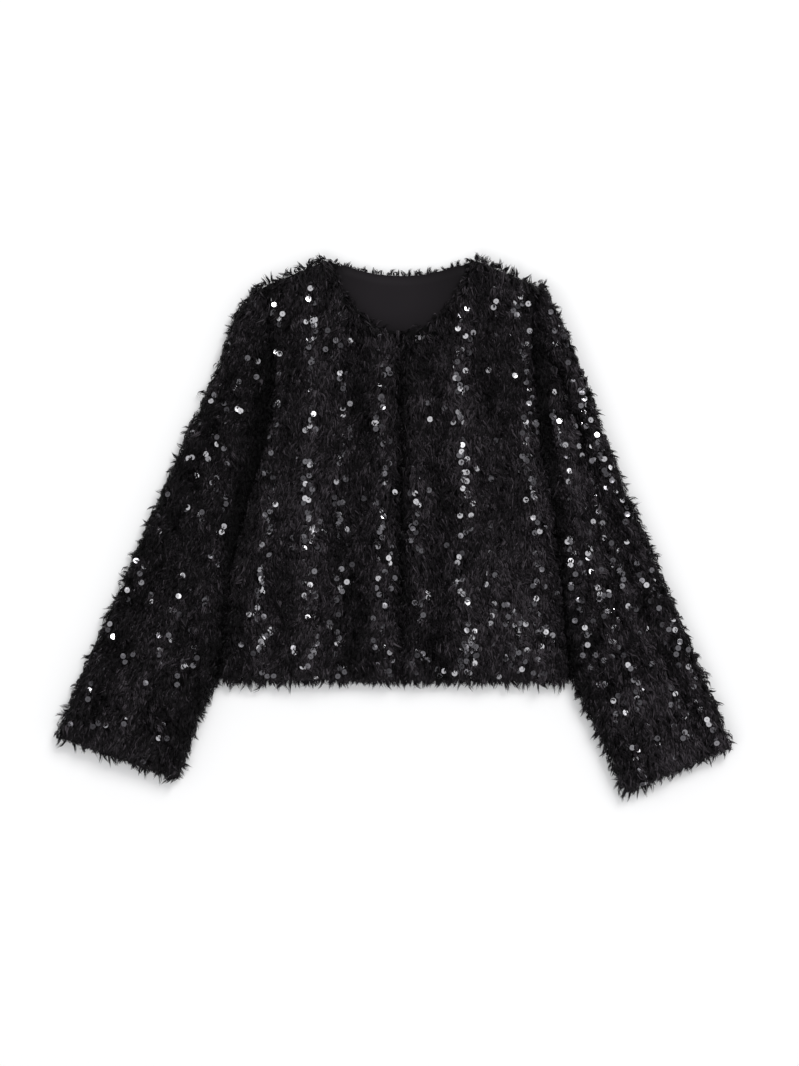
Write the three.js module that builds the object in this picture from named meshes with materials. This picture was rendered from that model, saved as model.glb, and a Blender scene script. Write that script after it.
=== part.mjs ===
// A cropped, collarless jacket in a shaggy sequinned pile cloth, laid flat with its front up.
// Millimetres, +Z up: X runs across the jacket, +Y from hem to neck, and Z = 0 is the surface that it lies on.
// Left and right are the wearer's, so the right front and the right sleeve are on the -X side.
// While it is drawn, x = 0 is the centre front and y = 0 is the top of the shoulder at the neck ("down" is -y).
// The pile is part of each wall: every outline and top face is where the tips of the pile reach.
import * as THREE from "three";

// Lengths of the body
const BODY_LENGTH = 533;
const NECK_HALF_WIDTH = 92;
const FRONT_NECK_DEPTH = 92;
const FRONT_NECK_CURVE = 0.476;
const BACK_NECK_DEPTH = 19;
const SHOULDER_DROP = 34;
const UNDERARM = 240;

// Half widths of the body at each level below the shoulder, from the armhole to the hem
const BODY_LEVELS = [
  { down: 34, right: 173, left: 173 },
  { down: 100, right: 162, left: 168 },
  { down: 180, right: 163, left: 173 },
  { down: 240, right: 175, left: 180 },
  { down: 300, right: 190, left: 189 },
  { down: 370, right: 207, left: 195 },
  { down: 450, right: 217, left: 202 },
  { down: 533, right: 227, left: 210 },
];

// Each sleeve's cross-lines, from the armhole to the cuff: the outer end, then the inner end.
// The first lies along the armhole, and those with no innerX run up to the side of the body.
const SLEEVE_LINES = {
  right: [
    { outerX: 173, outerDown: 34, innerDown: 240 },
    { outerX: 202, outerDown: 66, innerDown: 264 },
    { outerX: 230, outerDown: 140, innerDown: 305 },
    { outerX: 265, outerDown: 215, innerDown: 352 },
    { outerX: 299, outerDown: 290, innerDown: 404 },
    { outerX: 332, outerDown: 365, innerDown: 458 },
    { outerX: 365, outerDown: 440, innerDown: 512 },
    { outerX: 399, outerDown: 516, innerX: 250, innerDown: 574 },
    { outerX: 435, outerDown: 598, innerX: 279, innerDown: 653 },
  ],
  left: [
    { outerX: 173, outerDown: 34, innerDown: 240 },
    { outerX: 192, outerDown: 66, innerDown: 264 },
    { outerX: 224, outerDown: 140, innerDown: 305 },
    { outerX: 252, outerDown: 215, innerDown: 352 },
    { outerX: 283, outerDown: 290, innerDown: 404 },
    { outerX: 315, outerDown: 365, innerDown: 458 },
    { outerX: 346, outerDown: 440, innerDown: 512 },
    { outerX: 382, outerDown: 524, innerX: 241, innerDown: 586 },
    { outerX: 417, outerDown: 611, innerX: 279, innerDown: 671 },
  ],
};

// Heights, from the surface up
const UNDER_PILE = 6;
const GROUND = 2.4;
const BACK_TOP = UNDER_PILE + GROUND;
const SEAM_GAP = 0.3;
const SLEEVE_GAP = 0.7;
const LINING = 1.2;
const LINING_BASE = BACK_TOP + SEAM_GAP;
const FRONT_BASE = LINING_BASE + LINING + SEAM_GAP;
const FRONT_WALL = 13;
const SLEEVE_HEIGHT = 26;
const SLEEVE_SLIT = 2.8;

// Rounding of the pile at the edges
const EDGE_ROUND = 15;
const RIM = 4;
const UNDER_ROUND = 8;
const UNDER_RISE = 3.2;
const TUCK_ROUND = 34;
const TUCK_HEIGHT = 9;
const ARMHOLE_HEIGHT = 16;
const ARMHOLE_ROUND = 22;
const UNEVEN = 3;
const NECK_UNEVEN = 2;

// The lining stops short of the edges
const LINING_INSET = 14;
const LINING_NECK_INSET = 3.5;
const LINING_NECK_CORNER = 14;
const LINING_HEM_INSET = 30;

// Soft folds of the fronts: x where a ridge starts and ends, how far down, its width and height
const FRONT_FOLDS = [
  { x: -24, endX: -20, from: 100, to: 560, width: 17, height: 4.5 },
  { x: -78, endX: -104, from: 60, to: 330, width: 24, height: 4 },
  { x: -118, endX: -114, from: 170, to: 560, width: 26, height: 6 },
  { x: -160, endX: -176, from: 270, to: 520, width: 20, height: 3.5 },
  { x: 24, endX: 26, from: 150, to: 560, width: 16, height: 4.5 },
  { x: 76, endX: 84, from: 90, to: 470, width: 20, height: 6.5 },
  { x: 138, endX: 150, from: 200, to: 440, width: 34, height: 5.5 },
  { x: 112, endX: 98, from: 380, to: 560, width: 22, height: 4 },
  { x: 176, endX: 188, from: 380, to: 560, width: 18, height: 4 },
];
const FOLD_FADE = 70;
const FOLD_INSIDE = 0.5;

// Folds along the sleeves: where across (0 is the inner edge), between which cross-lines, width across, height
const SLEEVE_FOLDS = {
  right: [
    { across: 0.38, from: 1.5, to: 6.5, width: 0.13, height: 4.5 },
    { across: 0.74, from: 2, to: 5.5, width: 0.08, height: -4 },
    { across: 0.55, from: 5.5, to: 8, width: 0.12, height: 3 },
  ],
  left: [
    { across: 0.45, from: 0.8, to: 6, width: 0.11, height: 6 },
    { across: 0.72, from: 0.8, to: 3.4, width: 0.07, height: -6 },
    { across: 0.88, from: 1, to: 6, width: 0.06, height: 2 },
    { across: 0.35, from: 6, to: 8, width: 0.12, height: 3.5 },
  ],
};
const SLEEVE_FADE = 1;

// How finely each piece is divided
const EDGE_STEPS = [0, 5, 13];
const FRONT_COLUMNS = 12;
const FRONT_ROWS = 30;
const BACK_COLUMNS = 24;
const BACK_ROWS = 24;
const LINING_COLUMNS = 40;
const LINING_ROWS = 10;
const SLEEVE_STEPS_PER_LINE = 4;
const SLEEVE_TOP_STEPS = 10;
const SLEEVE_FLAT_STEPS = 4;

const BLACK_PILE = { color: 0x161517, roughness: 0.85, metalness: 0 };
const BLACK_LINING = { color: 0x262326, roughness: 0.6, metalness: 0 };

const { clamp, lerp } = THREE.MathUtils;

// A number between -1 and 1 that looks random but is the same each time.
function uneven(k) {
  const value = Math.sin(k * 12.9898 + 4.1) * 43758.5453;
  return 2 * (value - Math.floor(value)) - 1;
}

// 0 at a rounded edge and 1 from the radius inwards, as a quarter circle rises.
function rounded(distance, radius) {
  const t = clamp(distance / radius, 0, 1);
  return Math.sqrt(1 - (1 - t) ** 2);
}

// A smooth curve through one column of a table, at row number t.
function through(rows, column, t) {
  const i = clamp(Math.floor(t), 0, rows.length - 2);
  const f = t - i;
  const at = (k) => rows[clamp(k, 0, rows.length - 1)][column];
  const [a, b, c, d] = [at(i - 1), at(i), at(i + 1), at(i + 2)];
  return 0.5 * (2 * b + (c - a) * f + (2 * a - 5 * b + 4 * c - d) * f * f + (3 * b - a - 3 * c + d) * f ** 3);
}

// Half the width of the body on one side, at a level below the shoulder.
function halfWidth(side, down) {
  const last = BODY_LEVELS.length - 1;
  const level = clamp(down, BODY_LEVELS[0].down, BODY_LEVELS[last].down);
  let row = 0;
  while (row < last - 1 && BODY_LEVELS[row + 1].down < level) row++;
  const step = BODY_LEVELS[row + 1].down - BODY_LEVELS[row].down;
  return through(BODY_LEVELS, side, row + (level - BODY_LEVELS[row].down) / step);
}

// 1 along a fold and 0 past its two ends.
function faded(at, from, to, fade) {
  const { smoothstep } = THREE.MathUtils;
  return smoothstep(at, from - fade / 2, from + fade / 2) * (1 - smoothstep(at, to - fade / 2, to + fade / 2));
}

// How far the folds lift a front at a point.
function frontFold(x, down) {
  let lift = 0;
  for (const fold of FRONT_FOLDS) {
    const ridge = lerp(fold.x, fold.endX, clamp((down - fold.from) / (fold.to - fold.from), 0, 1));
    lift += fold.height * Math.exp(-(((x - ridge) / fold.width) ** 2)) * faded(down, fold.from, fold.to, FOLD_FADE);
  }
  return lift;
}

// Shares from 0 to 1 along a length, with the named short steps at both ends and even ones between.
function stations(length, count, ends = EDGE_STEPS) {
  const last = ends[ends.length - 1];
  const middle = Array.from({ length: count - 1 }, (_, i) => lerp(last, length - last, (i + 1) / count));
  return [...ends, ...middle, ...ends.map((d) => length - d).reverse()].map((d) => d / length);
}

// A closed sheet between two grids of points with the same rows and columns, the first one on top.
function sheetGeometry(top, bottom) {
  const rows = top.length;
  const columns = top[0].length;
  const points = [...top.flat(), ...bottom.flat()];
  const faces = [];
  const upper = (i, j) => i * columns + j;
  const lower = (i, j) => rows * columns + i * columns + j;
  const quad = (a, b, c, d) => faces.push(a, b, c, a, c, d);
  for (let i = 0; i < rows - 1; i++) {
    for (let j = 0; j < columns - 1; j++) {
      quad(upper(i, j), upper(i + 1, j), upper(i + 1, j + 1), upper(i, j + 1));
      quad(lower(i, j), lower(i, j + 1), lower(i + 1, j + 1), lower(i + 1, j));
    }
  }
  for (let j = 0; j < columns - 1; j++) {
    quad(upper(0, j), upper(0, j + 1), lower(0, j + 1), lower(0, j));
    quad(upper(rows - 1, j + 1), upper(rows - 1, j), lower(rows - 1, j), lower(rows - 1, j + 1));
  }
  for (let i = 0; i < rows - 1; i++) {
    quad(upper(i + 1, 0), upper(i, 0), lower(i, 0), lower(i + 1, 0));
    quad(upper(i, columns - 1), upper(i + 1, columns - 1), lower(i + 1, columns - 1), lower(i, columns - 1));
  }
  return geometryOf(points, faces);
}

// A closed tube from rings of points. Each ring also has its place in its own section plane, for the two ends.
// A mirrored tube has each of its faces turned round.
function tubeGeometry({ outer, inner, flatOuter, flatInner }, mirrored) {
  const count = outer[0].length;
  const hole = inner[0].length;
  const innerStart = outer.length * count;
  const points = [...outer.flat(), ...inner.flat()];
  const faces = [];
  const add = (a, b, c) => faces.push(...(mirrored ? [a, c, b] : [a, b, c]));
  for (let i = 0; i < outer.length - 1; i++) {
    for (let k = 0; k < count; k++) {
      const [a, b] = [i * count + k, i * count + ((k + 1) % count)];
      add(a, a + count, b);
      add(b, a + count, b + count);
    }
    for (let k = 0; k < hole; k++) {
      const [a, b] = [innerStart + i * hole + k, innerStart + i * hole + ((k + 1) % hole)];
      add(a, b, a + hole);
      add(b, b + hole, a + hole);
    }
  }
  const last = outer.length - 1;
  for (const ring of [0, last]) {
    const index = (v) => (v < count ? ring * count + v : innerStart + ring * hole + v - count);
    for (const [a, b, c] of THREE.ShapeUtils.triangulateShape(flatOuter[ring], [flatInner[ring]])) {
      if (ring === last) add(index(a), index(b), index(c));
      else add(index(a), index(c), index(b));
    }
  }
  return geometryOf(points, faces);
}

function geometryOf(points, faces) {
  const geometry = new THREE.BufferGeometry();
  geometry.setAttribute("position", new THREE.Float32BufferAttribute(points.flatMap((p) => [p.x, p.y, p.z]), 3));
  geometry.setIndex(faces);
  geometry.computeVertexNormals();
  return geometry;
}

function piece(name, geometry, finish) {
  const mesh = new THREE.Mesh(geometry, new THREE.MeshStandardMaterial(finish));
  mesh.name = name;
  return mesh;
}

// The front edge of a front: the neckline down to the centre, then the centre line.
function frontEdge(down) {
  const share = clamp(1 - down / FRONT_NECK_DEPTH, 0, 1);
  return Math.max(SEAM_GAP, NECK_HALF_WIDTH * share ** FRONT_NECK_CURVE);
}

// One front, from its centre edge out to the armhole and side, and from the shoulder down to the hem.
function front(side, seed) {
  const sign = side === "left" ? 1 : -1;
  const across = stations(BODY_LEVELS[4][side], FRONT_COLUMNS);
  const along = stations(BODY_LENGTH, FRONT_ROWS);
  const top = [];
  const bottom = [];
  along.forEach((v, i) => {
    const innerDown = v * BODY_LENGTH;
    const outerDown = lerp(SHOULDER_DROP, BODY_LENGTH, v);
    const edge = frontEdge(innerDown);
    const width = halfWidth(side, outerDown) - edge;
    const besideArmhole = 1 - THREE.MathUtils.smoothstep(outerDown, UNDERARM - 30, UNDERARM + 10);
    const sideRim = lerp(RIM, ARMHOLE_HEIGHT - FRONT_BASE, besideArmhole);
    const upper = [];
    const lower = [];
    across.forEach((u, j) => {
      const x = edge + u * width;
      const down = lerp(innerDown, outerDown, u);
      const toEnd = Math.min(v, 1 - v) * BODY_LENGTH;
      const inside = rounded(u * width, EDGE_ROUND) * rounded(toEnd, EDGE_ROUND);
      const sideRound = rounded((1 - u) * width, ARMHOLE_ROUND);
      const lift = frontFold(sign * x, down) * inside * sideRound;
      const rise = lerp(RIM, lerp(sideRim, FRONT_WALL, sideRound), inside);
      const sideSeam = (1 - clamp(((1 - u) * width) / LINING_INSET, 0, 1)) * (1 - besideArmhole);
      const shoulderSeam = 1 - clamp((v * BODY_LENGTH) / LINING_INSET, 0, 1);
      const base = lerp(FRONT_BASE, BACK_TOP + SEAM_GAP, Math.max(sideSeam, shoulderSeam));
      const atHem = i === along.length - 1 || i === 0;
      const ragged = atHem ? UNEVEN * uneven(seed + i * 7 + j) : 0;
      const raggedNeck = j === 0 && innerDown < FRONT_NECK_DEPTH ? NECK_UNEVEN * uneven(seed + i) : 0;
      const outward = i === 0 ? -1 : 1;
      const place = [sign * (x + Math.max(raggedNeck, 0)), -(down + outward * ragged)];
      upper.push(new THREE.Vector3(...place, base + rise + lift));
      lower.push(new THREE.Vector3(...place, base + lift * FOLD_INSIDE));
    });
    top.push(sign > 0 ? upper : upper.reverse());
    bottom.push(sign > 0 ? lower : lower.reverse());
  });
  return sheetGeometry(top, bottom);
}

// The top edge of the back at a share of its half width: the neck in the middle, then the shoulder.
function backTopEdge(x, shoulder) {
  const fromNeck = Math.abs(x) - NECK_HALF_WIDTH;
  if (fromNeck < 0) return BACK_NECK_DEPTH * (1 - (x / NECK_HALF_WIDTH) ** 2);
  return (SHOULDER_DROP * fromNeck) / (shoulder - NECK_HALF_WIDTH);
}

// A flat panel the shape of the back, drawn in from its edges by the given insets.
function backGrid(columns, rows, insets, height) {
  const grid = [];
  rows.forEach((v, i) => {
    const line = [];
    columns.forEach((u, j) => {
      const side = u < 0.5 ? "right" : "left";
      const share = 2 * u - 1;
      const outerDown = lerp(SHOULDER_DROP + insets.shoulder, BODY_LENGTH - insets.hem, v);
      const x = share * (halfWidth(side, outerDown) - insets.side);
      const shoulder = halfWidth(side, SHOULDER_DROP);
      const besideNeck = THREE.MathUtils.smoothstep(
        Math.abs(share) * shoulder,
        NECK_HALF_WIDTH - LINING_NECK_CORNER,
        NECK_HALF_WIDTH - 6,
      );
      const inset = lerp(insets.neck, insets.shoulder, besideNeck);
      const start = backTopEdge(share * shoulder, shoulder) + inset;
      const down = lerp(start, BODY_LENGTH - insets.hem, v);
      const ragged = i === 0 || i === rows.length - 1 ? insets.uneven * uneven(i * 5 + j * 3) : 0;
      const toSide = Math.min(u, 1 - u) * 2 * halfWidth(side, outerDown);
      const toEnd = Math.min(v, 1 - v) * BODY_LENGTH;
      line.push(new THREE.Vector3(x, -(down + (i === 0 ? -1 : 1) * ragged), height(toSide, toEnd)));
    });
    grid.push(line);
  });
  return grid;
}

function back() {
  const columns = stations(2 * BODY_LEVELS[4].right, BACK_COLUMNS);
  const rows = stations(BODY_LENGTH, BACK_ROWS);
  const insets = { side: 0, neck: 0, shoulder: 0, hem: 0, uneven: UNEVEN };
  const underside = (toSide, toEnd) =>
    UNDER_RISE * (1 - rounded(toSide, UNDER_ROUND) * rounded(toEnd, UNDER_ROUND));
  const top = backGrid(columns, rows, insets, () => BACK_TOP);
  const bottom = backGrid(columns, rows, insets, underside);
  return sheetGeometry(top, bottom);
}

function backLining() {
  const even = (count) => Array.from({ length: count + 1 }, (_, i) => i / count);
  const insets = {
    side: LINING_INSET,
    neck: LINING_NECK_INSET,
    shoulder: LINING_INSET + 2,
    hem: LINING_HEM_INSET,
    uneven: 0,
  };
  const columns = even(LINING_COLUMNS);
  const rows = even(LINING_ROWS);
  const top = backGrid(columns, rows, insets, () => LINING_BASE + LINING);
  const bottom = backGrid(columns, rows, insets, () => LINING_BASE);
  return sheetGeometry(top, bottom);
}

// The two ends of a sleeve's cross-line at line number t, and how much of it lies along the armhole.
function sleeveLine(side, t) {
  const lines = SLEEVE_LINES[side].map((line) => ({
    ...line,
    innerX: line.innerX ?? halfWidth(side, line.innerDown) + SLEEVE_GAP,
  }));
  const innerDown = through(lines, "innerDown", t);
  const free = THREE.MathUtils.smoothstep(innerDown, BODY_LENGTH - 25, BODY_LENGTH + 5);
  const besideBody = halfWidth(side, innerDown) + SLEEVE_GAP;
  return {
    outer: new THREE.Vector2(through(lines, "outerX", t), through(lines, "outerDown", t)),
    inner: new THREE.Vector2(lerp(besideBody, through(lines, "innerX", t), free), innerDown),
    free,
  };
}

// A point on a sleeve's cross-line, a share of the way from its inner end to its outer end.
// The first lines bow towards the body, as the armhole does.
function sleevePoint(side, t, line, share) {
  const armhole = sleeveLine(side, 0);
  const chord = armhole.inner.clone().lerp(armhole.outer, share);
  const bow = halfWidth(side, chord.y) + SLEEVE_GAP - chord.x;
  const point = line.inner.clone().lerp(line.outer, share);
  point.x += bow * (1 - THREE.MathUtils.smoothstep(t, 0, 2));
  return point;
}

function sleeveFold(side, t, share) {
  let lift = 0;
  for (const fold of SLEEVE_FOLDS[side]) {
    const near = Math.exp(-(((share - fold.across) / fold.width) ** 2));
    lift += fold.height * near * faded(t, fold.from, fold.to, SLEEVE_FADE);
  }
  return lift;
}

// One sleeve: a flattened tube, open at the armhole and at the cuff.
function sleeve(side, seed) {
  const sign = side === "left" ? 1 : -1;
  const last = SLEEVE_LINES[side].length - 1;
  const { outer: cuff } = sleeveLine(side, last);
  const lineLength = cuff.distanceTo(sleeveLine(side, last - 1).outer);
  const steps = Array.from({ length: last * SLEEVE_STEPS_PER_LINE }, (_, i) => i / SLEEVE_STEPS_PER_LINE);
  const places = [...steps, last - EDGE_STEPS[2] / lineLength, last - EDGE_STEPS[1] / lineLength, last];
  const rings = { outer: [], inner: [], flatOuter: [], flatInner: [] };
  places.forEach((t, i) => {
    const line = sleeveLine(side, t);
    const width = line.outer.distanceTo(line.inner);
    const toCuff = (last - t) * lineLength;
    const atCuff = rounded(toCuff, EDGE_ROUND);
    const atArmhole = rounded(t * lineLength, ARMHOLE_ROUND);
    const innerRound = lerp(TUCK_ROUND, EDGE_ROUND, line.free);
    const topAt = (share) => {
      const outerSide = rounded((1 - share) * width, EDGE_ROUND);
      const innerSide = rounded(share * width, innerRound);
      const full = lerp(TUCK_HEIGHT, SLEEVE_HEIGHT + sleeveFold(side, t, share), outerSide * innerSide);
      const start = lerp(TUCK_HEIGHT, ARMHOLE_HEIGHT, outerSide);
      return lerp(start, lerp(TUCK_HEIGHT + RIM, full, atCuff), atArmhole);
    };
    const underAt = (share) => {
      const side2 = rounded(Math.min(share, 1 - share) * width, UNDER_ROUND);
      return UNDER_RISE * (1 - side2 * rounded(toCuff, UNDER_ROUND));
    };
    const place = (share, z, ragged = 0) => {
      const at = sleevePoint(side, t, line, share);
      const out = line.outer.clone().sub(line.inner).normalize();
      at.addScaledVector(out, ragged);
      const axis = new THREE.Vector2(-out.y, out.x);
      if (i === places.length - 1) at.addScaledVector(axis, UNEVEN * uneven(seed + share * 97));
      return new THREE.Vector3(sign * at.x, -at.y, z);
    };
    const topShares = stations(width, SLEEVE_TOP_STEPS);
    const flatShares = stations(width, SLEEVE_FLAT_STEPS, [0, UNDER_ROUND]).slice(1, -1).reverse();
    const raggedAt = (share) => {
      if (share === 1) return t > 0.5 ? UNEVEN * uneven(seed + i) : 0;
      return share === 0 ? -UNEVEN * line.free * Math.abs(uneven(seed + i * 3)) : 0;
    };
    const loop = [
      ...topShares.map((share) => [share, topAt(share), raggedAt(share)]),
      ...flatShares.map((share) => [share, underAt(share), 0]),
    ];
    const slitShares = stations(width, SLEEVE_FLAT_STEPS, [EDGE_STEPS[2]]);
    const slitTop = BACK_TOP + SLEEVE_SLIT * lerp(0.6, 1, atArmhole);
    const slit = [
      ...slitShares.map((share) => [share, slitTop]),
      ...slitShares.map((share) => [share, BACK_TOP]).reverse(),
    ];
    const ring = loop.map(([share, z, ragged]) => place(share, z, ragged));
    const slitRing = slit.map(([share, z]) => place(share, z));
    const flat = loop.map(([share, z]) => new THREE.Vector2(share * width, z));
    const flatSlit = slit.map(([share, z]) => new THREE.Vector2(share * width, z));
    rings.outer.push(ring);
    rings.inner.push(slitRing);
    rings.flatOuter.push(flat);
    rings.flatInner.push(flatSlit);
  });
  return tubeGeometry(rings, sign < 0);
}

const jacket = new THREE.Group();
jacket.add(
  piece("back", back(), BLACK_PILE),
  piece("back_lining", backLining(), BLACK_LINING),
  piece("right_front", front("right", 11), BLACK_PILE),
  piece("left_front", front("left", 53), BLACK_PILE),
  piece("right_sleeve", sleeve("right", 5), BLACK_PILE),
  piece("left_sleeve", sleeve("left", 29), BLACK_PILE),
);

// The finished part stands on the middle of its outline.
const outline = new THREE.Box3().setFromObject(jacket);
const middle = outline.getCenter(new THREE.Vector3());
jacket.position.set(-middle.x, -middle.y, 0);

export default jacket;
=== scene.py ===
import math

import bpy
import numpy as np
from mathutils import Matrix, Vector


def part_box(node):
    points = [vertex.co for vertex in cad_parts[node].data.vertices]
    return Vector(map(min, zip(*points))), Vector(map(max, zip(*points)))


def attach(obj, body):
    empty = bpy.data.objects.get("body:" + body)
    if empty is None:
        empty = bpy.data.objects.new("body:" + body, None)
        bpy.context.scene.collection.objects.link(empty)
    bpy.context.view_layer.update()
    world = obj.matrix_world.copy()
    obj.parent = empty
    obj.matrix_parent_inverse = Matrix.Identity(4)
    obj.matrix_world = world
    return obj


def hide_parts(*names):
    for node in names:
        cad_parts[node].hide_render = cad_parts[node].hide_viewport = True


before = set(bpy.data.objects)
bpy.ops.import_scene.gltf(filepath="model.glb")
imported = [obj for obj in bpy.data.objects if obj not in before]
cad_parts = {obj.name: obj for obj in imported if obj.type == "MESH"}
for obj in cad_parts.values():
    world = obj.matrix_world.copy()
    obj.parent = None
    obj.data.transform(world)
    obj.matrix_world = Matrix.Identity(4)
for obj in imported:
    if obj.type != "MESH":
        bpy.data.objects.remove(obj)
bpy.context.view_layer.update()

# A cropped, collarless jacket in shaggy black faux fur with round sequins, laid flat with its front up.
# Each panel of pile cloth is a thin shell that follows the folds, with its pile on it, and on the fronts and
# the sleeves its sequins too. The lining is a thin shell alone.
# Lengths are millimetres in the jacket's own drawing: x = 0 is the centre front, and "down" runs from the
# top of the shoulder at the neck to the hem. They become metres in the solids' frame when a mesh is made.

# Body
BODY_LENGTH = 533.0
NECK_HALF_WIDTH = 92.0
FRONT_NECK_DEPTH = 92.0
FRONT_NECK_CURVE = 0.476
BACK_NECK_DEPTH = 19.0
SHOULDER_DROP = 34.0
UNDERARM = 240.0
CENTRE_GAP = 0.3
FRONT_WIDTH = 190.0

# The levels between which the armhole ends, and between which a sleeve's inner edge comes free of the body
ARMHOLE_END = (UNDERARM - 30, UNDERARM + 10)
SLEEVE_FREE = (BODY_LENGTH - 25, BODY_LENGTH + 5)

# Half widths of the body at each level: down, wearer's right, wearer's left
BODY_LEVELS = np.array([
    (34, 173, 173),
    (100, 162, 168),
    (180, 163, 173),
    (240, 175, 180),
    (300, 190, 189),
    (370, 207, 195),
    (450, 217, 202),
    (533, 227, 210),
], float)
LEVEL_COLUMN = {"right": 1, "left": 2}

# Cross-lines of the sleeves: outer x, outer down, inner x (0 where it follows the body), inner down
SLEEVE_LINES = {
    "right": [
        (173, 34, 0, 240),
        (202, 66, 0, 264),
        (230, 140, 0, 305),
        (265, 215, 0, 352),
        (299, 290, 0, 404),
        (332, 365, 0, 458),
        (365, 440, 0, 512),
        (399, 516, 250, 574),
        (435, 598, 279, 653),
    ],
    "left": [
        (173, 34, 0, 240),
        (192, 66, 0, 264),
        (224, 140, 0, 305),
        (252, 215, 0, 352),
        (283, 290, 0, 404),
        (315, 365, 0, 458),
        (346, 440, 0, 512),
        (382, 524, 241, 586),
        (417, 611, 279, 671),
    ],
}
LAST_LINE = len(SLEEVE_LINES["right"]) - 1
LINE_LENGTH = 80.0
CUFF_INSET = 8.0 / LINE_LENGTH
SLEEVE_GAP = 0.7
SLEEVE_WIDTH = 130.0

# Heights above the surface
UNDER_PILE = 6.0
CLOTH_THICK = 2.4
LINING_BASE = 8.7
LINING_THICK = 1.2
FRONT_BASE = 10.2
FRONT_WALL = 13.0
SLEEVE_HEIGHT = 26.0
SLIT_BASE = 8.4
LEAST_SLIT = 0.4
LEAST_WALL = 0.6
RIM = 4.0
EDGE_ROUND = 15.0
TUCK_ROUND = 34.0
TUCK_HEIGHT = 9.0
SLEEVE_SWELL = 0.62
CUFF_HEIGHT = 12.0
ARMHOLE_HEIGHT = 13.0
ARMHOLE_ROUND = 22.0
ARMHOLE_RISE = 2.5
SEAM_ROUND = 14.0
SEAM_DROP = 1.2
UNDER_ROUND = 10.0
UNDER_CUFF_ROUND = 8.0
LOWEST = 0.25

# The cloth stops short of the tips of its pile
HEM_INSET = 9.0
SIDE_INSET = 5.0
NECK_INSET = 3.0
CENTRE_INSET = 2.0
CLOTH_SHARE = 0.42

# The sides of the cloth come in by their inset only beside the hem, between these levels
SIDE_INSET_LEVELS = (505, 530)

# Insets from the edges of the back, for its cloth and for its lining: side, neck, shoulder and hem
BACK_INSETS = (SIDE_INSET, NECK_INSET, NECK_INSET, HEM_INSET)
LINING_INSETS = (14.0, 3.5, 16.0, 30.0)

# Shares of a piece: of its width, for the walls at a sleeve's sides, and of its width or its length, for the
# step that finds the slope of a cloth
SIDE_WALL = 0.015
SLOPE_STEP = 0.004

# Soft folds of the fronts: x at the top, x at the bottom, from, to, width, height
FRONT_FOLDS = [
    (-24, -20, 100, 560, 17, 4.5),
    (-78, -104, 60, 330, 24, 4.0),
    (-118, -114, 170, 560, 26, 6.0),
    (-160, -176, 270, 520, 20, 3.5),
    (24, 26, 150, 560, 16, 4.5),
    (76, 84, 90, 470, 20, 6.5),
    (138, 150, 200, 440, 34, 5.5),
    (112, 98, 380, 560, 22, 4.0),
    (176, 188, 380, 560, 18, 4.0),
]
FOLD_FADE = 70.0

# Folds along the sleeves: across, from line, to line, width, height
SLEEVE_FOLDS = {
    "right": [
        (0.38, 1.5, 6.5, 0.13, 4.5),
        (0.74, 2.0, 5.5, 0.08, -4.0),
        (0.55, 5.5, 8.0, 0.12, 3.0),
    ],
    "left": [
        (0.45, 0.8, 6.0, 0.11, 6.0),
        (0.72, 0.8, 3.4, 0.07, -6.0),
        (0.88, 1.0, 6.0, 0.06, 2.0),
        (0.35, 6.0, 8.0, 0.12, 3.5),
    ],
}

# Bands that run down the cloth where the sequins sit, with painted light on their pile as on ridges:
# x at the shoulder, x at the hem, half width, strength, share of the sequins
BODY_BANDS = {
    "right": [
        (-156, -178, 15, 1.0, 1.0),
        (-111, -114, 16, 1.0, 1.0),
        (-74, -76, 12, 0.7, 0.6),
        (-22, -22, 12, 1.0, 1.0),
    ],
    "left": [
        (22, 22, 12, 0.9, 0.8),
        (72, 82, 15, 1.0, 1.0),
        (122, 108, 12, 0.4, 0.35),
        (150, 178, 14, 1.0, 1.0),
    ],
}

# The same along the sleeves: share across, half width as a share, strength, share of the sequins
SLEEVE_BANDS = {
    "right": [
        (0.26, 0.07, 1.0, 0.48),
        (0.5, 0.06, 0.7, 0.28),
        (0.72, 0.06, 0.7, 0.28),
        (0.92, 0.04, 0.6, 0.25),
    ],
    "left": [
        (0.2, 0.06, 0.7, 0.5),
        (0.42, 0.07, 1.0, 0.72),
        (0.66, 0.06, 0.8, 0.62),
        (0.9, 0.05, 1.0, 0.82),
    ],
}

# Patches of painted light and shade on the pile: side, x, down, half width, half height, change
LIT_PATCHES = [
    ("left", 130, 450, 52, 80, 0.3),
    ("left", 170, 505, 30, 30, 0.15),
    ("left", 72, 190, 20, 80, 0.12),
    ("left", 120, 40, 40, 40, 0.1),
    ("left", 123, 130, 22, 60, -0.07),
    ("left", 45, 450, 26, 60, -0.14),
    ("left", 150, 505, 70, 40, 0.09),
    ("left", 160, 180, 45, 160, 0.07),
    ("right", -60, 180, 34, 70, -0.05),
    ("right", -70, 470, 26, 60, -0.08),
    ("right", -114, 330, 22, 110, 0.1),
]

# The shadowed crease of a sleeve beside the body: down, how wide it is on the right sleeve and on the left
CREASES = np.array([
    (60, 6, 8),
    (110, 13, 14),
    (150, 18, 16),
    (190, 23, 16),
    (230, 27, 17),
    (290, 25, 17),
    (350, 20, 16),
    (390, 13, 15),
    (450, 11, 15),
    (533, 11, 15),
], float)

# How lit the pile is painted, as painted light and shade: between the bands, in a band, lighter for each
# millimetre of a fold's height, in uneven waves, and at the least
FRONT_LIT = (0.215, 0.23, 0.03, 0.15)
SLEEVE_LIT = (0.2, 0.26, 0.03, 0.14)
LEAST_LIT = 0.03

# How much lighter or darker each sleeve's pile is painted at some of its cross-lines, as painted light and
# shade
SHADE_LINES = (0.8, 2.3, 4.0, 5.6, 7.2)
SLEEVE_SHADE = {"right": (1.1, 0.72, 0.8, 0.82, 1.1), "left": (1.45, 1.5, 1.25, 1.2, 2.1)}

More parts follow.
